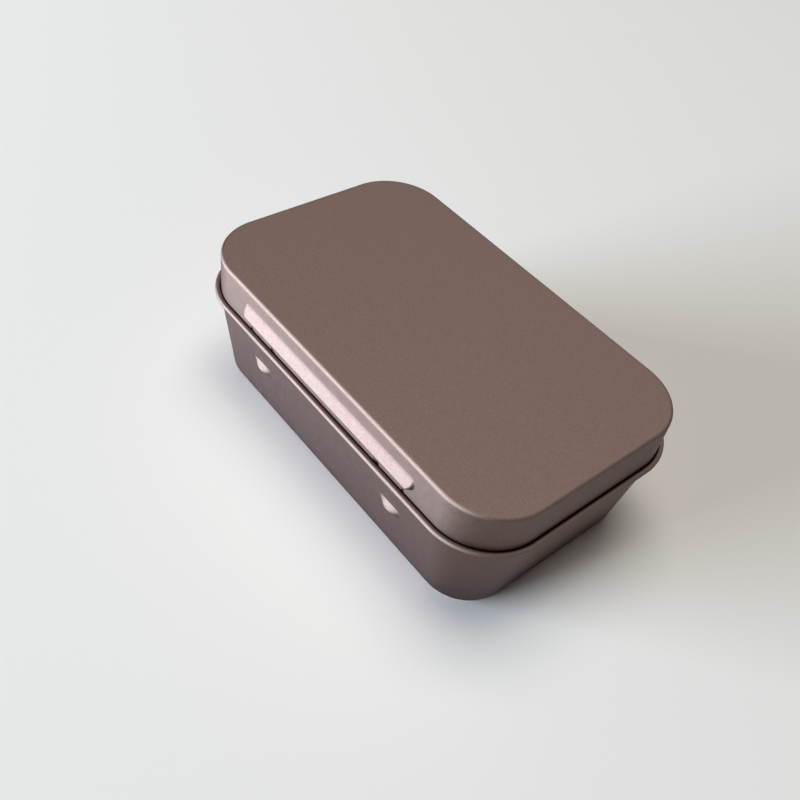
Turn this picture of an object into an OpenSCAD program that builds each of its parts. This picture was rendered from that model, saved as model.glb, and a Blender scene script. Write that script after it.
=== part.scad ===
// Hinged game tin: a drawn base with a rolled rim and a lid that plugs into it.
// Units are millimetres. Z is up, X runs along the long side, +Y is the hinge side.
// The origin is the middle of the underside of the base.

/* [Size] */
// length of the lid over its skirt
lid_l = 106.8; // [90:0.2:140]
// width of the lid over its skirt
lid_w = 65; // [56:0.2:90]
// plan corner radius of the lid skirt
corner_r = 14.8; // [10:0.1:20]
// height of the closed tin
total_h = 36.8; // [34:0.1:48]
// height of the middle of the rolled rim
rim_z = 25.65; // [22:0.05:26]
// thickness of the tinplate
sheet_t = 0.25; // [0.2:0.01:0.3]

/* [Base] */
// how far the wall leans in from the rim to the floor
wall_lean = 3.8; // [0.5:0.1:4]
// outside radius between the wall and the floor
floor_r = 1.9; // [1:0.1:3]
// radius of the rolled rim
roll_r = 0.7; // [0.6:0.01:0.9]
// how far round the sheet is rolled, in degrees
roll_turn = 300; // [270:1:300]

/* [Stops] */
// distance of each pressed stop from the middle of the hinge side
stop_x = 25.2; // [15:0.1:30]
// height of a stop's upper edge
stop_z = 17.6; // [14:0.1:18.5]
// width of a stop
stop_w = 7.4; // [5:0.1:9]
// height of a stop along the wall
stop_h = 2.65; // [2:0.05:3.1]
// height of a stop's lip above its lower edge
stop_full = 0.55; // [0.4:0.05:0.7]
// how far a stop's lip stands out
stop_p = 1.1; // [0.7:0.05:1.3]

/* [Lid] */
// outside radius of the lid's top edge
top_r = 0.9; // [0.5:0.05:1.5]
// how far the skirt reaches below the middle of the rim
plug_h = 2.4; // [1.5:0.1:3]
// height of the hem folded inside the skirt's lower edge
hem_h = 1.4; // [0.8:0.1:1.4]
// clearance between the skirt and the rim
fit_gap = 0.09; // [0.05:0.01:0.1]

/* [Finger bead] */
// length of the raised bead on the hinge side of the lid
bead_l = 63; // [40:0.5:66]
// height of the bead's lower edge
bead_z0 = 28.6; // [28.2:0.1:29.2]
// height of the bead from edge to edge
bead_h = 4.5; // [3.8:0.1:5.2]
// height of the bead's lip above its lower edge
bead_full = 0.9; // [0.6:0.1:1.3]
// how far the bead's lip stands out
bead_p = 1.3; // [0.8:0.05:1.4]

/* [Hinge] */
// distance of each hinge tongue from the middle of the hinge side
tongue_x = 24.5; // [15:0.1:30]
// width of a hinge tongue
tongue_w = 8; // [5:0.1:10]
// clearance at each side of a tongue
tongue_gap = 0.5; // [0.3:0.05:1]
// how far round the rim a tongue is curled, in degrees
tongue_turn = 110; // [90:1:115]

/* [Hidden] */
$fn = 96;
quarter = 90;
half_turn = 180;
// half distances between the centres of the plan corners
cx = lid_l / 2 - corner_r;
cy = lid_w / 2 - corner_r;
// the four corners: side of x, side of y, direction of the first edge
CORNERS = [[1, 1, 0], [-1, 1, 90], [-1, -1, 180], [1, -1, 270]];
SIDES = [-1, 1];
// middle of the rolled rim, measured out from a corner centre
rim_x = corner_r + fit_gap + roll_r;
// the wall leans by this angle
lean = atan(wall_lean / rim_z);
// the direction square to the wall, outwards
nx = cos(lean);
nz = -sin(lean);
// the direction up the wall
ux = sin(lean);
uz = cos(lean);
// the roll stands in from the wall's inner face by this much
roll_set = 0.12 * sheet_t;
wall_in = roll_r - roll_set;
// the wall ends inside the rolled sheet, this far below the middle of the rim
wall_end = 0.26 * roll_r;
// the rolled sheet is carried on this many degrees over the wall's end
roll_lap = 26;
// inner and outer corner of the wall's upper end
in_top = [rim_x - wall_in * nx - wall_end * ux, rim_z - wall_in * nz - wall_end * uz];
out_top = [in_top[0] + sheet_t * nx, in_top[1] + sheet_t * nz];
// centre of the floor's rounded edge
run = (out_top[1] - floor_r - floor_r * nz) / cos(lean);
floor_c = [out_top[0] - floor_r * nx - run * sin(lean), floor_r];
// the wall's outer face at the height of the stops' upper edge
stop_y = cy + out_top[0] - (out_top[1] - stop_z) * tan(lean);
// arc of a stop's lip seen from above
stop_R = (stop_w * stop_w / 4 + stop_p * stop_p) / (2 * stop_p);
// the bead's round ends reach past its edges by half the sheet, inside the skirt
bead_end = (bead_h + sheet_t) / 2;
// inner and outer radius of the tongue's curl about the rim
hook_in = roll_r + fit_gap;
hook_out = hook_in + sheet_t;
// the slot below the rim that a tongue passes through
slot_top = rim_z - 0.3 * roll_r;
slot_low = rim_z - hook_out - sheet_t;
slot_w = tongue_w + 2 * tongue_gap;
// the notch in the skirt around a tongue ends here
notch_top = rim_z + roll_r;
skirt_low = rim_z - plug_h;
// how far a cutting block reaches past the sheet
cut_d = 8 * sheet_t;

// the area inside one face of the base sheet: r is the radius of its rounded floor edge
module base_area(r) {
    polygon([
        [0, floor_r - r],
        [floor_c[0], floor_r - r],
        floor_c,
        [floor_c[0] + r * nx, floor_r + r * nz],
        [in_top[0] + (r - floor_r + sheet_t) * nx, in_top[1] + (r - floor_r + sheet_t) * nz],
        [0, in_top[1] + in_top[0] * tan(lean)]
    ]);
    translate(floor_c)
        circle(r = r);
}

// a sector of the plane about the rim's middle, from one angle to another
module sector(from, to, reach) {
    mid = (from + to) / 2;
    polygon([
        [0, 0],
        [reach * cos(from), reach * sin(from)],
        [reach * cos((from + mid) / 2), reach * sin((from + mid) / 2)],
        [reach * cos(mid), reach * sin(mid)],
        [reach * cos((mid + to) / 2), reach * sin((mid + to) / 2)],
        [reach * cos(to), reach * sin(to)]
    ]);
}

// a curl of sheet about the rim's middle
module curl(inner, from, to) {
    translate([rim_x, rim_z])
        intersection() {
            difference() {
                circle(r = inner + sheet_t);
                circle(r = inner);
            }
            sector(from, to, 8 * (inner + sheet_t));
        }
}

// half section of the base: floor, wall and rolled rim
module base_section() {
    difference() {
        base_area(floor_r);
        base_area(floor_r - sheet_t);
    }
    curl(roll_r - sheet_t, half_turn - lean - roll_turn, half_turn - lean + roll_lap);
}

// half section of the lid: top, skirt and folded hem
module lid_area(inset) {
    translate([0, rim_z])
        square([corner_r - inset, total_h - top_r - rim_z]);
    translate([0, rim_z])
        square([corner_r - top_r, total_h - inset - rim_z]);
    translate([corner_r - top_r, total_h - top_r])
        circle(r = top_r - inset);
}

module plug_strip(inset, low, high) {
    polygon([
        [corner_r - inset - (rim_z - low) * tan(lean), low],
        [corner_r - inset - (rim_z - high) * tan(lean), high],
        [corner_r - inset - (rim_z - high) * tan(lean) - sheet_t, high],
        [corner_r - inset - (rim_z - low) * tan(lean) - sheet_t, low]
    ]);
}

module lid_section() {
    difference() {
        lid_area(0);
        lid_area(sheet_t);
    }
    plug_strip(0, skirt_low, rim_z);
    plug_strip(sheet_t, skirt_low, skirt_low + hem_h);
}

// sweeps a half section round the plan of the tin
module round_plan() {
    for (c = CORNERS)
        translate([c[0] * cx, c[1] * cy, 0])
            rotate([0, 0, c[2]])
                rotate_extrude(angle = quarter)
                    children();
    for (turn = [0, half_turn])
        rotate([0, 0, turn])
            translate([0, cy, 0])
                rotate([quarter, 0, quarter])
                    linear_extrude(height = 2 * cx, center = true)
                        children();
    for (turn = [0, half_turn])
        rotate([0, 0, turn])
            translate([cx, 0, 0])
                rotate([quarter, 0, 0])
                    linear_extrude(height = 2 * cy, center = true)
                        children();
}

// the flat middle between the corner centres
module middle_plate(z) {
    translate([-cx, -cy, z])
        cube([2 * cx, 2 * cy, sheet_t]);
}

// profile of a pressed form: one face slopes out from the upper edge to a lip, a steeper one
// turns back in below it. Both carry on behind the sheet's outer face by reach.
module lip_profile(high, full, out, inset, reach) {
    above = atan(out / (high - full));
    below = atan(out / full);
    past = (out + reach) / out;
    translate([
        -inset * (sin(above) + sin(below)) / sin(above + below),
        inset * (cos(above) - cos(below)) / sin(above + below)
    ])
        polygon([
            [-reach, full - full * past],
            [out, full],
            [-reach, full + (high - full) * past]
        ]);
}

// a stop on the leaning wall, its lip an arc seen from above
module wall_stop(side, inset, reach) {
    translate([side * stop_x, stop_y, stop_z])
        rotate([-lean, 0, 0])
            translate([0, 0, -stop_h])
                intersection() {
                    rotate([quarter, 0, quarter])
                        linear_extrude(height = 2 * stop_w, center = true)
                            lip_profile(stop_h, stop_full, stop_p, inset, reach);
                    translate([0, stop_p - stop_R, stop_h / 2])
                        cylinder(h = 3 * stop_h, r = stop_R - inset, center = true);
                }
}

module wall_slot(side) {
    translate([side * tongue_x - slot_w / 2, cy + corner_r - cut_d, slot_low])
        cube([slot_w, cut_d + fit_gap + 1.4 * sheet_t, slot_top - slot_low]);
}

module base() {
    color([0.36, 0.29, 0.28])
        difference() {
            union() {
                round_plan()
                    base_section();
                middle_plate(0);
                for (side = SIDES)
                    wall_stop(side, 0, sheet_t / 2);
            }
            for (side = SIDES) {
                wall_stop(side, sheet_t, sheet_t);
                wall_slot(side);
            }
        }
}

// outline of the bead seen square on, with round ends
module bead_outline(inset) {
    translate([0, bead_h / 2]) {
        square([bead_l - 2 * bead_end, 2 * (bead_end - inset)], center = true);
        for (side = SIDES)
            translate([side * (bead_l / 2 - bead_end), 0])
                circle(r = bead_end - inset);
    }
}

// the bead on the skirt: its outline seen square on, its profile seen from the end
module bead_swell(inset, reach) {
    translate([0, cy + corner_r, bead_z0])
        intersection() {
            rotate([quarter, 0, 0])
                linear_extrude(height = 2 * cut_d, center = true)
                    bead_outline(inset);
            rotate([quarter, 0, quarter])
                linear_extrude(height = bead_l + cut_d, center = true)
                    lip_profile(bead_h, bead_full, bead_p, inset, reach);
        }
}

// a tongue: the skirt carried on through the slot and curled round the rim
module tongue(side) {
    translate([side * tongue_x, cy, 0])
        rotate([quarter, 0, quarter])
            linear_extrude(height = tongue_w, center = true) {
                translate([corner_r - sheet_t, rim_z])
                    square([sheet_t, notch_top - rim_z]);
                curl(hook_in, half_turn, half_turn + tongue_turn);
            }
}

module skirt_notch(side) {
    translate([side * tongue_x - slot_w / 2, cy + corner_r - cut_d, skirt_low - cut_d / 2])
        cube([slot_w, 1.5 * cut_d, notch_top - skirt_low + cut_d / 2]);
}

module lid() {
    color([0.42, 0.34, 0.32]) {
        difference() {
            union() {
                round_plan()
                    lid_section();
                middle_plate(total_h - sheet_t);
                bead_swell(0, sheet_t / 2);
            }
            bead_swell(sheet_t, sheet_t);
            for (side = SIDES)
                skirt_notch(side);
        }
        for (side = SIDES)
            tongue(side);
    }
}

base();
lid();
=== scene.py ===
import math

import bpy
import numpy as np
from bpy.props import FloatProperty, FloatVectorProperty, PointerProperty
from mathutils import Euler, Matrix, Vector


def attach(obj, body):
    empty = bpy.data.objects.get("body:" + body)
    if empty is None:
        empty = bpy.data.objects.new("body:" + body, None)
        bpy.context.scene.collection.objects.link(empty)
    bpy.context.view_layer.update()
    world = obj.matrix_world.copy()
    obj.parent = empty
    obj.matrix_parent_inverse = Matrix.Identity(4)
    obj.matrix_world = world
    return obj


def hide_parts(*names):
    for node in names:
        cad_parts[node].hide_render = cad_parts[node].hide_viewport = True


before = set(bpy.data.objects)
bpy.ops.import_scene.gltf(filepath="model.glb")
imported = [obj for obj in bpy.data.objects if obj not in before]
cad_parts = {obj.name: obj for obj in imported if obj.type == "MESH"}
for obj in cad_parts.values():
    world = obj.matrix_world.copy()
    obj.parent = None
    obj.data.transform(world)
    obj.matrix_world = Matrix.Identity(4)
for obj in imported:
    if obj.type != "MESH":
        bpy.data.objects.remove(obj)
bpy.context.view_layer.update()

bl_info = {
    "name": "Hinged game tin",
    "version": (1, 0, 0),
    "blender": (4, 5, 0),
    "location": "View3D > Sidebar > Tin",
    "description": "Builds a drawn tinplate box with a rolled rim and a lid on curled tongues",
    "category": "Object",
}

MM = 0.001
# a length too short to tell two points apart
NEAR = 1e-9

# degrees that the rim is rolled through, and that a tongue curls round it
ROLL_TURN = 300
TONGUE_TURN = 110
# upper edge of a hinge slot below the rim's middle, as a share of the roll's radius
SLOT_DROP = 0.3
# radius of the hem's fold at the middle of the sheet, as a share of the sheet: over a
# half, so that the two layers stay apart
HEM_FOLD = 0.52

# pressed forms: how softly the two faces meet at the lip, how softly the form rises from
# the sheet around it, and how far outside its outline that rise is still drawn
LIP_BLEND = 0.06 * MM
FOOT_BLEND = 0.03 * MM
FOOT_REACH = 0.3 * MM
# over what length the face above the lip begins, and how softly it meets the ends
STOP_START, STOP_ENDS = 0.3 * MM, 0.25 * MM
BEAD_START, BEAD_ENDS = 1.6 * MM, 0.15 * MM
# the bead's round ends: radius past half its height, and how steeply they rise
BEAD_END_EXTRA = 0.4 * MM
BEAD_END_SLOPE = 2.0

# longest steps of the grid along the plan: across the stops, the tongues and the bead's
# ends, elsewhere on the hinge side, and on the other sides
FINE_STEP = 0.24 * MM
MIDDLING_STEP = 1.6 * MM
COARSE_STEP = 3.2 * MM
# how far the fine columns reach past the bead's end, and the columns of a corner
FINE_PAST = 1.0 * MM
CORNER_COLUMNS = 39
# rows of the grid: on the pressed forms, the roll, the small edges and the flat plates
STOP_ROWS, BEAD_ROWS, ROLL_ROWS, EDGE_ROWS, PLATE_ROWS = 45, 57, 41, 13, 14
# how far the fine rows reach past a stop, below and above, and past the bead's edges
STOP_BELOW, STOP_ABOVE, BEAD_PAST = 0.5 * MM, 0.8 * MM, 0.6 * MM
# where the rings of a flat plate begin, as a share of the corner radius, and the size of
# the innermost ring, as a share of the outermost
PLATE_START = 0.55
PLATE_MIDDLE = 0.02

# sockets of a Mix node that take and give colours
MIX_A, MIX_B, MIX_RESULT = 6, 7, 2

# how bright the studio's white walls look to the camera and in the lacquer, 1 is white
WALL_LEVEL = 0.55
# the low key lamp is cool, so that the lit lacquer turns mauve, and the top lamp warm
KEY_TINT = (0.76, 0.885, 1.0)
TOP_TINT = (1.0, 0.95, 0.85)
# half the width of the floor, in metres
FLOOR_HALF = 1.5
# camera fitted to the outline of the tin in the photograph: lens and sensor in mm, near
# clip in metres, place, and turn about X, Y and Z in degrees
CAMERA_LENS = 40.3641
CAMERA_SENSOR = 36.0
CAMERA_CLIP = 0.01
CAMERA_PLACE = (-104.766 * MM, 120.026 * MM, 174.497 * MM)
CAMERA_TURN = (43.1259, -7.6244, -128.9271)


# ---------------------------------------------------------------- colours and nodes

def linear(hex_colour):
    """sRGB hex to linear: c / 12.92 below 0.04045, else ((c + 0.055) / 1.055) ** 2.4."""
    values = [int(hex_colour[i:i + 2], 16) / 255 for i in (1, 3, 5)]
    return [v / 12.92 if v <= 0.04045 else ((v + 0.055) / 1.055) ** 2.4 for v in values]


def add_node(tree, kind, settings=None, links=None, **attributes):
    """Adds one node, sets its attributes and input values, and links its inputs."""
    node = tree.nodes.new(kind)
    for name, value in attributes.items():
        setattr(node, name, value)
    for socket, value in (settings or {}).items():
        node.inputs[socket].default_value = value
    for socket, source in (links or {}).items():
        tree.links.new(source, node.inputs[socket])
    return node


# ---------------------------------------------------------------- sizes and colours

def length(label, text, millimetres):
    """A length property, typed in millimetres."""
    return FloatProperty(name=label, description=text, default=millimetres * MM,
                         min=0.0, subtype="DISTANCE", unit="LENGTH", precision=5)


def colour(label, text, hex_colour):
    """A colour property with an sRGB hex default."""
    return FloatVectorProperty(name=label, description=text, default=linear(hex_colour),
                               size=3, min=0.0, max=1.0, subtype="COLOR")


class TinSizes(bpy.types.PropertyGroup):
    """Sizes of the tin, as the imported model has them."""
    lid_l: length("Lid length", "Length of the lid over its skirt", 106.8)
    lid_w: length("Lid width", "Width of the lid over its skirt", 65.0)
    corner_r: length("Corner radius", "Plan corner radius of the skirt", 14.8)
    total_h: length("Height", "Height of the closed tin", 36.8)
    rim_z: length("Rim height", "Height of the middle of the rolled rim", 25.65)
    sheet_t: length("Sheet", "Thickness of the tinplate", 0.25)
    wall_lean: length("Wall lean", "How far the wall leans in from rim to floor", 3.8)
    floor_r: length("Floor edge", "Outside radius between wall and floor", 1.9)
    roll_r: length("Roll radius", "Radius of the rolled rim", 0.7)
    fit_gap: length("Fit gap", "Clearance between skirt and rim", 0.09)
    top_r: length("Top edge", "Outside radius of the lid's top edge", 0.9)
    plug_h: length("Plug depth", "How far the skirt reaches below the rim's middle", 2.4)
    hem_h: length("Hem", "Height of the hem folded inside the skirt", 1.4)
    stop_x: length("Stop place", "Distance of a pressed stop from the middle", 25.2)
    stop_z: length("Stop height", "Height of a stop's upper edge above the floor", 17.6)
    stop_w: length("Stop width", "Width of a stop", 7.4)
    stop_h: length("Stop length", "Height of a stop along the wall", 2.65)
    stop_full: length("Stop lip", "Height of a stop's lip above its lower edge", 0.55)
    stop_p: length("Stop depth", "How far a stop's lip stands out", 1.1)
    bead_l: length("Bead length", "Length of the raised bead", 63.0)
    bead_z0: length("Bead place", "Height of the bead's lower edge", 28.6)
    bead_h: length("Bead height", "Height of the bead from edge to edge", 4.5)
    bead_p: length("Bead depth", "How far the bead's lip stands out", 1.3)
    bead_full: length("Bead lip", "Height of the bead's lip above its lower edge", 0.9)
    tongue_x: length("Tongue place", "Distance of a hinge tongue from the middle", 24.5)
    tongue_w: length("Tongue width", "Width of a hinge tongue", 8.0)
    tongue_gap: length("Tongue gap", "Clearance at each side of a tongue", 0.5)


class TinColours(bpy.types.PropertyGroup):
    """Colours of the tin and the stage."""
    lacquer: colour("Lacquer", "Bronze brown metallic lacquer", "#675652")
    flake: colour("Flake", "Light metal flakes in the lacquer", "#88746F")
    floor: colour("Floor", "Pale studio floor", "#F4F3F3")


# ---------------------------------------------------------------- plan and sections

def plan_columns(s):
    """The plan of the tin as columns, each a centre C and an outward direction N.

    A point of the tin is C + rho * N. On a straight side C runs between two corner
    centres and N is fixed. In a corner C is fixed and N turns through 90 degrees. The
    second result marks the columns of the hinge side.
    """
    cx = s.lid_l / 2 - s.corner_r
    cy = s.lid_w / 2 - s.corner_r
    half = s.tongue_w / 2
    first = min(s.tongue_x - half, s.stop_x - s.stop_w / 2) - s.tongue_gap
    last = s.bead_l / 2 + FINE_PAST
    marks = [first, s.tongue_x - half - s.tongue_gap, s.tongue_x - half,
             s.tongue_x + half, s.tongue_x + half + s.tongue_gap, last, cx]
    marks = sorted(set(marks + [-m for m in marks]))
    runs = []
    for low, high in zip(marks[:-1], marks[1:]):
        step = FINE_STEP if first < abs(low + high) / 2 < last else MIDDLING_STEP
        count = max(2, math.ceil((high - low) / step))
        runs.append(np.linspace(low, high, count, endpoint=False))
    rear_x = np.append(np.concatenate(runs), cx)[::-1]
    side_y = np.linspace(-cy, cy, math.ceil(2 * cy / COARSE_STEP) + 1)
    front_x = np.linspace(-cx, cx, math.ceil(2 * cx / COARSE_STEP) + 1)
    turn = np.radians(np.linspace(0, 90, CORNER_COLUMNS + 2)[1:-1])

    def straight(x, y, angle):
        """Columns of a straight side, all facing the same way."""
        n = np.full(len(x), angle)
        return np.stack([x, y, np.cos(n), np.sin(n)], 1)

    def corner(x, y, start):
        """Columns of a corner, facing from start to start + 90 degrees."""
        angle = start + turn
        one = np.ones(len(turn))
        return np.stack([one * x, one * y, np.cos(angle), np.sin(angle)], 1)

    columns = np.concatenate([
        straight(np.full(len(side_y), cx), side_y, 0.0), corner(cx, cy, 0.0),
        straight(rear_x, np.full(len(rear_x), cy), math.pi / 2), corner(-cx, cy, math.pi / 2),
        straight(np.full(len(side_y), -cx), side_y[::-1], math.pi), corner(-cx, -cy, math.pi),
        straight(front_x, np.full(len(front_x), -cy), 1.5 * math.pi),
        corner(cx, -cy, 1.5 * math.pi)])
    rear = np.zeros(len(columns), bool)
    start = len(side_y) + len(turn)
    rear[start:start + len(rear_x)] = True
    return columns, rear


def between(values):
    """The middle between each column and the next, round the closed plan."""
    return (values + np.roll(values, -1)) / 2


def arc(centre, radius, start, end, rows):
    """Points centre + radius * (cos a, sin a), a running from start to end in degrees."""
    a = np.radians(np.linspace(start, end, rows))
    return np.stack([centre[0] + radius * np.cos(a), centre[1] + radius * np.sin(a)], 1)


def line(first, last, rows):
    """Points first + t * (last - first), t running from 0 to 1."""
    t = np.linspace(0, 1, rows)[:, None]
    return np.asarray(first) * (1 - t) + np.asarray(last) * t


def join(*runs):
    """Runs of points end to end. The point that two runs share is kept once."""
    return np.concatenate([run[:-1] for run in runs[:-1]] + [runs[-1]])


def soft_max0(value, k):
    """A smooth max(value, 0): (value + sqrt(value^2 + k^2)) / 2."""
    return (value + np.sqrt(value * value + k * k)) / 2


def soft_min(a, b, k):
    """A smooth min(a, b): (a + b - sqrt((a - b)^2 + k^2)) / 2."""
    return (a + b - np.sqrt((a - b) ** 2 + k * k)) / 2


def blend_max0(value, k):
    """max(value, 0) with a parabola between -k and k: (value + k)^2 / (4 k)."""
    return np.where(value > k, value, np.maximum(value + k, 0) ** 2 / (4 * k))


def pressed(height, high, full, out, bound, start, ends):
    """How far a pressed form stands out at a height above its lower edge.

    It is the smallest of three faces: one above that falls from out at full to 0 at high
    and begins over the length start, one below, out * height / full, and the bound at
    its ends, blended in over the length ends.
    """
    slope = out / (high - start / 2 - full)
    above = blend_max0(slope * (high - start / 2 - height), slope * start / 2)
    body = soft_min(soft_min(above, out * height / full, LIP_BLEND), bound, ends)
    return np.where(body > -FOOT_REACH, soft_max0(body, FOOT_BLEND), 0.0)


def carry(columns, section):
    """Carries a section (rho, z) round the plan: P(u, v) = (C(u) + rho(v) N(u), z(v))."""
    rho, z = section[:, 0][:, None], section[:, 1][:, None]
    x = columns[None, :, 0] + rho * columns[None, :, 2]
    y = columns[None, :, 1] + rho * columns[None, :, 3]
    return np.stack([x, y, np.broadcast_to(z, x.shape)], 2)


def plate_rings(ring):
    """Rings of a flat plate: P(u, v) = s(v) * ring(u), s from PLATE_MIDDLE up to 1."""
    scale = np.linspace(PLATE_MIDDLE, 1, PLATE_ROWS, endpoint=False)[:, None, None]
    out = ring[None] * scale
    out[:, :, 2] = ring[None, :, 2]
    return out


def make_object(name, points, keep, pole):
    """A mesh object from a grid of points that closes on itself across its columns.

    keep marks the quads to make. A fan of triangles joins the pole to the first row.
    Points that no face uses are left out.
    """
    rows, cols = points.shape[:2]
    v = np.arange(rows * cols).reshape(rows, cols)
    right = np.roll(v, -1, 1)
    quads = np.stack([v[:-1], right[:-1], right[1:], v[1:]], 2)[keep]
    verts = np.concatenate([points.reshape(-1, 3), [pole]])
    ring = np.arange(cols)
    fan = np.stack([np.full(cols, len(verts) - 1), np.roll(ring, -1), ring], 1)
    used, corners = np.unique(np.append(quads, fan), return_inverse=True)
    quads, fan = np.split(corners.ravel(), [quads.size])
    mesh = bpy.data.meshes.new(name)
    faces = quads.reshape(-1, 4).tolist() + fan.reshape(-1, 3).tolist()
    mesh.from_pydata(verts[used], [], faces)
    mesh.update()
    mesh.polygons.foreach_set("use_smooth", np.ones(len(mesh.polygons), bool))
    obj = bpy.data.objects.new(name, mesh)
    bpy.context.scene.collection.objects.link(obj)
    return obj


def flip_outwards(obj, middle_z):
    """Turns the faces of an open sheet so that they point away from the tin's inside."""
    mesh = obj.data
    normals = np.empty(len(mesh.polygons) * 3)
    centres = np.empty(len(mesh.polygons) * 3)
    mesh.polygons.foreach_get("normal", normals)
    mesh.polygons.foreach_get("center", centres)
    middle = np.array([0, 0, middle_z])
    away = ((centres.reshape(-1, 3) - middle) * normals.reshape(-1, 3)).sum(1)
    if np.median(away) < 0:
        mesh.flip_normals()


def give_thickness(obj, thickness):
    """Gives the middle surface of a sheet its thickness, half to each side."""
    solid = obj.modifiers.new("sheet", "SOLIDIFY")
    solid.thickness = thickness
    solid.offset = 0.0
    solid.use_even_offset = True
    solid.use_rim = True


# ---------------------------------------------------------------- finish

def lacquer_material(name, colours):
    """Bronze brown metallic lacquer, sprayed on tinplate and baked.

    Its flakes lie at many angles, but none steeply, so the sheen is broad and ends short:
    a face turned to the lamp is pale and the next one is dark. They give a fine grain,
    and the baked film leaves a faint orange peel.
    """
    material = bpy.data.materials.new(name)
    material.use_nodes = True
    tree = material.node_tree
    tree.nodes.clear()
    place = add_node(tree, "ShaderNodeTexCoord")
    # flakes of about 0.05 mm are drawn at 0.25 mm, so that they show
    flakes = add_node(tree, "ShaderNodeTexNoise", {"Scale": 1 / (0.25 * MM), "Detail": 2.0},
                      {"Vector": place.outputs["Object"]})
    # orange peel of the baked film, 1.6 mm from crest to crest
    peel = add_node(tree, "ShaderNodeTexNoise", {"Scale": 1 / (1.6 * MM), "Detail": 1.0},
                    {"Vector": place.outputs["Object"]})
    grain = add_node(tree, "ShaderNodeMapRange",
                     {"From Min": 0.35, "From Max": 0.75, "To Min": 0.0, "To Max": 0.5},
                     {"Value": flakes.outputs["Fac"]})
    tint = add_node(tree, "ShaderNodeMix", None, {0: grain.outputs["Result"]},
                    data_type="RGBA")
    tint.inputs[MIX_A].default_value = (*colours.lacquer, 1)
    tint.inputs[MIX_B].default_value = (*colours.flake, 1)
    rough = add_node(tree, "ShaderNodeMapRange",
                     {"From Min": 0.3, "From Max": 0.7, "To Min": 0.64, "To Max": 0.66},
                     {"Value": peel.outputs["Fac"]})
    bump_fine = add_node(tree, "ShaderNodeBump", {"Strength": 0.35, "Distance": 0.04 * MM},
                         {"Height": flakes.outputs["Fac"]})
    bump = add_node(tree, "ShaderNodeBump", {"Strength": 0.35, "Distance": 0.004 * MM},
                    {"Height": peel.outputs["Fac"], "Normal": bump_fine.outputs["Normal"]})
    shader = add_node(tree, "ShaderNodeBsdfMetallic", None,
                      {"Base Color": tint.outputs[MIX_RESULT],
                       "Roughness": rough.outputs["Result"],
                       "Normal": bump.outputs["Normal"]}, distribution="BECKMANN")
    add_node(tree, "ShaderNodeOutputMaterial", None, {"Surface": shader.outputs["BSDF"]})
    return material


def finish_sheet(obj, name, context):
    """Turns a sheet's faces outwards, gives it its thickness and lacquers it."""
    flip_outwards(obj, context.scene.tin_sizes.total_h / 2)
    give_thickness(obj, context.scene.tin_sizes.sheet_t)
    obj.data.materials.append(lacquer_material(name, context.scene.tin_colours))


# ---------------------------------------------------------------- operators

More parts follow.
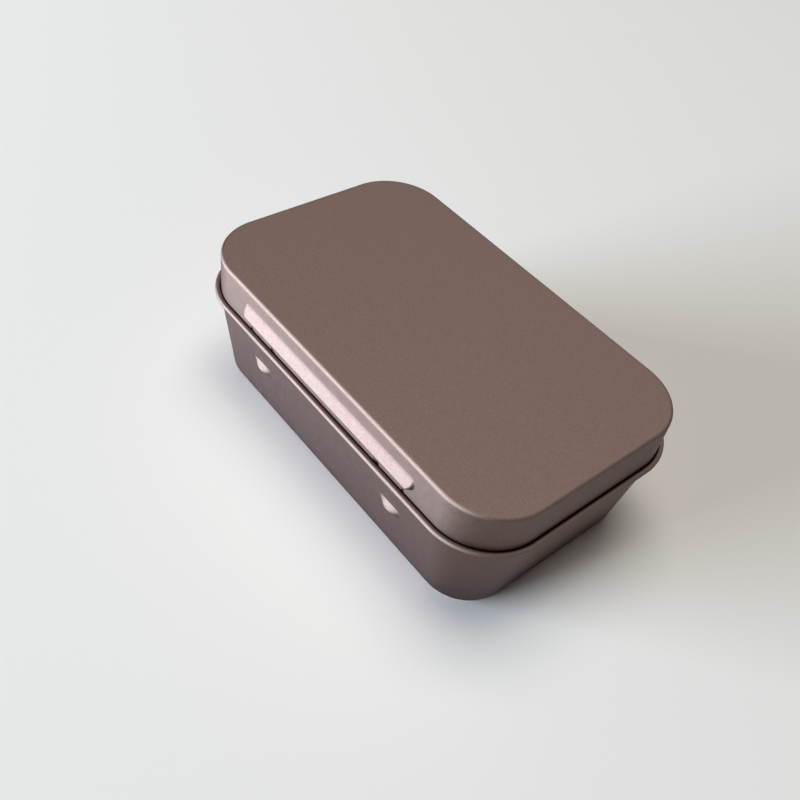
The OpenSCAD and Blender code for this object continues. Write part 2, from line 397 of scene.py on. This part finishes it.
class TIN_OT_base(bpy.types.Operator):
    """Build the drawn base with its rolled rim, pressed stops and hinge slots"""
    bl_idname = "tin.base"
    bl_label = "Base"

    def execute(self, context):
        s = context.scene.tin_sizes
        columns, rear = plan_columns(s)
        lean = math.atan2(s.wall_lean, s.rim_z)
        normal = np.array([math.cos(lean), -math.sin(lean)])
        up = np.array([math.sin(lean), math.cos(lean)])
        half = s.sheet_t / 2
        rim = np.array([s.corner_r + s.fit_gap + s.roll_r, s.rim_z])
        roll = s.roll_r - half
        wall_top = rim - roll * normal
        bend = s.floor_r - half
        run = (wall_top[1] - bend * normal[1] - s.floor_r) / up[1]
        centre = wall_top - run * up - bend * normal
        low = centre + bend * normal
        # a slot reaches below the tongue that curls round the rim by one sheet
        hook_out = s.roll_r + s.fit_gap + s.sheet_t
        slot_top = s.rim_z - SLOT_DROP * s.roll_r
        slot_low = s.rim_z - hook_out - s.sheet_t

        def at_height(z):
            """The point of the wall's middle line at a height."""
            return low + (wall_top - low) * (z - low[1]) / (wall_top[1] - low[1])

        lean_deg = math.degrees(lean)
        stop_low = s.stop_z - s.stop_h - STOP_BELOW
        stop_high = s.stop_z + STOP_ABOVE
        section = join(
            line((s.corner_r * PLATE_START, half), (centre[0], half), rows=6),
            arc(centre, bend, -90, -lean_deg, EDGE_ROWS),
            line(low, at_height(stop_low), rows=6),
            line(at_height(stop_low), at_height(stop_high), STOP_ROWS),
            line(at_height(stop_high), at_height(slot_low), rows=5),
            line(at_height(slot_low), at_height(slot_top), rows=4),
            line(at_height(slot_top), wall_top, rows=3),
            arc(rim, roll, 180 - lean_deg, 180 - lean_deg - ROLL_TURN, ROLL_ROWS))
        points = carry(columns, section)

        # stops: a face sloping out to a lip that is an arc seen from above, and falling
        # away to both ends as the arc does
        x, z = points[:, :, 0], points[:, :, 2]
        wall_row = (section[:, 1] > stop_low) & (section[:, 1] < stop_high)
        along = (s.stop_z - z) / math.cos(lean)
        aside = np.minimum(np.abs(np.abs(x) - s.stop_x), s.stop_w)
        radius = (s.stop_w ** 2 / 4 + s.stop_p ** 2) / (2 * s.stop_p)
        arch = np.sqrt(radius ** 2 - np.minimum(aside, radius) ** 2) - (radius - s.stop_p)
        swell = pressed(s.stop_h - along, s.stop_h, s.stop_full, s.stop_p, arch,
                        STOP_START, STOP_ENDS) * np.clip(arch / s.stop_p, 0, 1)
        swell = np.where(rear[None, :] & wall_row[:, None], swell, 0.0)
        points[:, :, 1] += swell * normal[0]
        points[:, :, 2] += swell * normal[1]

        # hinge slots: quads left out of the wall, below the roll
        plate = plate_rings(points[0])
        points = np.concatenate([plate, points])
        heights = points[:, 0, 2]
        mid_z = (heights[:-1] + heights[1:]) / 2
        slot_rows = (mid_z > slot_low) & (mid_z < slot_top)
        roll_start = len(plate) + np.argmax(section[:, 1] >= wall_top[1] - NEAR)
        slot_rows[roll_start:] = False
        reach_x = np.abs(np.abs(between(columns[:, 0])) - s.tongue_x)
        slot_cols = rear & (reach_x < s.tongue_w / 2 + s.tongue_gap)
        keep = ~(slot_rows[:, None] & slot_cols[None, :])
        obj = make_object("tin_base", points, keep, (0, 0, half))
        finish_sheet(obj, "bronze_lacquer_base", context)
        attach(obj, "base")
        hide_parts("base")
        return {"FINISHED"}


class TIN_OT_lid(bpy.types.Operator):
    """Build the drawn lid with its raised bead, hem and hinge tongues"""
    bl_idname = "tin.lid"
    bl_label = "Lid"

    def execute(self, context):
        s = context.scene.tin_sizes
        columns, rear = plan_columns(s)
        half = s.sheet_t / 2
        lean = math.atan2(s.wall_lean, s.rim_z)
        down = np.array([-math.sin(lean), -math.cos(lean)])
        skirt = s.corner_r - half
        edge = s.top_r - half
        centre = (s.corner_r - s.top_r, s.total_h - s.top_r)
        notch_top = s.rim_z + s.roll_r
        bead_low = s.bead_z0 - BEAD_PAST
        bead_high = s.bead_z0 + s.bead_h + BEAD_PAST
        rim = np.array([s.corner_r + s.fit_gap + s.roll_r, s.rim_z])
        hook = s.roll_r + s.fit_gap + half
        plug_length = (s.plug_h - s.sheet_t) / math.cos(lean)
        plug_end = np.array([skirt, s.rim_z]) + down * plug_length
        inward = np.array([-math.cos(lean), math.sin(lean)])
        fold = s.sheet_t * HEM_FOLD
        fold_centre = plug_end + inward * fold
        hem_foot = plug_end + inward * 2 * fold
        hem_top = hem_foot - down * (s.hem_h - s.sheet_t)
        turn = math.degrees(lean)
        section = join(
            line((s.corner_r * PLATE_START, s.total_h - half),
                 (centre[0], s.total_h - half), rows=6),
            arc(centre, edge, 90, 0, EDGE_ROWS),
            line((skirt, centre[1]), (skirt, bead_high), rows=4),
            line((skirt, bead_high), (skirt, bead_low), BEAD_ROWS),
            line((skirt, bead_low), (skirt, notch_top), rows=3))
        # below the notch each column is either plain skirt with a hem or a tongue
        start = line((skirt, notch_top), (skirt, s.rim_z), rows=4)
        tail = join(
            start,
            line((skirt, s.rim_z), plug_end, rows=6),
            arc(fold_centre, fold, -turn, -turn - 180, rows=10),
            line(hem_foot, hem_top, rows=6))[1:]
        curl_rows = len(tail) - len(start) + 2
        tongue = join(start, arc(rim, hook, 180, 180 + TONGUE_TURN, curl_rows))[1:]
        upper = carry(columns, section)

        # raised bead: a sloping face that starts softly, its ends round seen square on
        x, z = upper[:, :, 0], upper[:, :, 2]
        end = s.bead_h / 2 + BEAD_END_EXTRA
        across = np.maximum(np.abs(x) - (s.bead_l / 2 - end), 0)
        inside = end - np.hypot(across, z - s.bead_z0 - s.bead_h / 2)
        swell = pressed(z - s.bead_z0, s.bead_h, s.bead_full, s.bead_p,
                        BEAD_END_SLOPE * inside, BEAD_START, BEAD_ENDS)
        skirt_row = section[:, 0] > skirt - NEAR
        swell = np.where(rear[None, :] & skirt_row[:, None], swell, 0.0)
        upper[:, :, 1] += swell

        reach_x = np.abs(np.abs(columns[:, 0]) - s.tongue_x)
        in_tongue = rear & (reach_x < s.tongue_w / 2 + NEAR)
        lower = np.where(in_tongue[None, :, None], carry(columns, tongue), carry(columns, tail))
        plate = plate_rings(upper[0])
        points = np.concatenate([plate, upper, lower])

        # a gap on both sides of each tongue, from the notch down
        mid_reach = np.abs(np.abs(between(columns[:, 0])) - s.tongue_x)
        gap = rear & (mid_reach > s.tongue_w / 2) & (mid_reach < s.tongue_w / 2 + s.tongue_gap)
        keep = np.ones((len(points) - 1, len(columns)), bool)
        keep[len(plate) + len(section) - 1:, gap] = False
        obj = make_object("tin_lid", points, keep, (0, 0, s.total_h - half))
        finish_sheet(obj, "bronze_lacquer_lid", context)
        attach(obj, "lid")
        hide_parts("lid")
        return {"FINISHED"}


def soft_box(name, azimuth, elevation, distance, width, height, radiance, tint):
    """A flat lamp at that azimuth (0 is +Y, 90 is +X) and elevation, facing the tin.

    Its power is pi * width * height * radiance, so a radiance of 1 shows as white.
    """
    a, e = math.radians(azimuth), math.radians(elevation)
    away = Vector((math.sin(a) * math.cos(e), math.cos(a) * math.cos(e), math.sin(e)))
    lamp = bpy.data.lights.new(name, "AREA")
    lamp.shape = "RECTANGLE"
    lamp.size, lamp.size_y = width, height
    lamp.energy = math.pi * width * height * radiance
    lamp.color = tint
    obj = bpy.data.objects.new(name, lamp)
    obj.location = away * distance
    obj.rotation_euler = away.to_track_quat("Z", "Y").to_euler()
    bpy.context.scene.collection.objects.link(obj)


class TIN_OT_stage(bpy.types.Operator):
    """Build the pale floor, the studio light and the camera"""
    bl_idname = "tin.stage"
    bl_label = "Stage"

    def execute(self, context):
        scene = context.scene
        scene.view_settings.view_transform = "Standard"
        camera = bpy.data.cameras.new("camera")
        camera.sensor_width = CAMERA_SENSOR
        camera.lens = CAMERA_LENS
        camera.clip_start = CAMERA_CLIP
        obj = bpy.data.objects.new("camera", camera)
        turn = Euler([math.radians(angle) for angle in CAMERA_TURN]).to_matrix().to_4x4()
        obj.matrix_world = Matrix.Translation(CAMERA_PLACE) @ turn
        scene.collection.objects.link(obj)
        scene.camera = obj

        mesh = bpy.data.meshes.new("floor")
        corners = [(-FLOOR_HALF, -FLOOR_HALF, 0), (FLOOR_HALF, -FLOOR_HALF, 0),
                   (FLOOR_HALF, FLOOR_HALF, 0), (-FLOOR_HALF, FLOOR_HALF, 0)]
        mesh.from_pydata(corners, [], [(0, 1, 2, 3)])
        floor = bpy.data.objects.new("floor", mesh)
        scene.collection.objects.link(floor)
        material = bpy.data.materials.new("matt_white_board")
        material.use_nodes = True
        shader = material.node_tree.nodes["Principled BSDF"]
        shader.inputs["Base Color"].default_value = (*scene.tin_colours.floor, 1)
        shader.inputs["Roughness"].default_value = 0.9
        shader.inputs["Specular IOR Level"].default_value = 0.0
        mesh.materials.append(material)

        # the walls are seen by the camera and in the metal, and give no light themselves
        world = bpy.data.worlds.new("studio")
        world.use_nodes = True
        tree = world.node_tree
        ray = add_node(tree, "ShaderNodeLightPath")
        seen = add_node(tree, "ShaderNodeMath", None, {0: ray.outputs["Is Camera Ray"],
                        1: ray.outputs["Is Glossy Ray"]}, operation="MAXIMUM")
        seen = add_node(tree, "ShaderNodeMath", None, {0: seen.outputs[0],
                        1: ray.outputs["Is Transmission Ray"]}, operation="MAXIMUM")
        level = add_node(tree, "ShaderNodeMath", {1: WALL_LEVEL}, {0: seen.outputs[0]},
                         operation="MULTIPLY")
        tree.nodes["Background"].inputs["Color"].default_value = (1, 1, 1, 1)
        tree.links.new(level.outputs[0], tree.nodes["Background"].inputs["Strength"])
        scene.world = world
        # a long low lamp beyond the hinge side lights the bead, the stops and the edges
        soft_box("key_box", azimuth=28, elevation=6, distance=2.0, width=1.5, height=0.42,
                 radiance=80, tint=KEY_TINT)
        # a large lamp nearly overhead is what the lid's top shows
        soft_box("top_box", azimuth=135, elevation=80, distance=2.2, width=1.5, height=1.5,
                 radiance=4.3, tint=TOP_TINT)
        return {"FINISHED"}


class TIN_PT_panel(bpy.types.Panel):
    """Lists the steps that build the tin"""
    bl_idname = "TIN_PT_panel"
    bl_label = "Hinged game tin"
    bl_space_type = "VIEW_3D"
    bl_region_type = "UI"
    bl_category = "Tin"

    def draw(self, context):
        layout = self.layout
        for group in (context.scene.tin_sizes, context.scene.tin_colours):
            for name in group.bl_rna.properties.keys():
                if name not in ("rna_type", "name"):
                    layout.prop(group, name)
        for step in STEPS:
            layout.operator(step.bl_idname)


STEPS = (TIN_OT_stage, TIN_OT_base, TIN_OT_lid)
CLASSES = (TinSizes, TinColours, *STEPS, TIN_PT_panel)


def register():
    """Registers the classes and hangs the settings on the scene."""
    for cls in CLASSES:
        bpy.utils.register_class(cls)
    bpy.types.Scene.tin_sizes = PointerProperty(type=TinSizes)
    bpy.types.Scene.tin_colours = PointerProperty(type=TinColours)


def unregister():
    """Takes the settings and the classes away again."""
    del bpy.types.Scene.tin_sizes
    del bpy.types.Scene.tin_colours
    for cls in reversed(CLASSES):
        bpy.utils.unregister_class(cls)


def main():
    """Builds the stage and the pieces in order."""
    register()
    bpy.ops.tin.stage()
    bpy.ops.tin.base()
    bpy.ops.tin.lid()


if __name__ == "__main__":
    main()
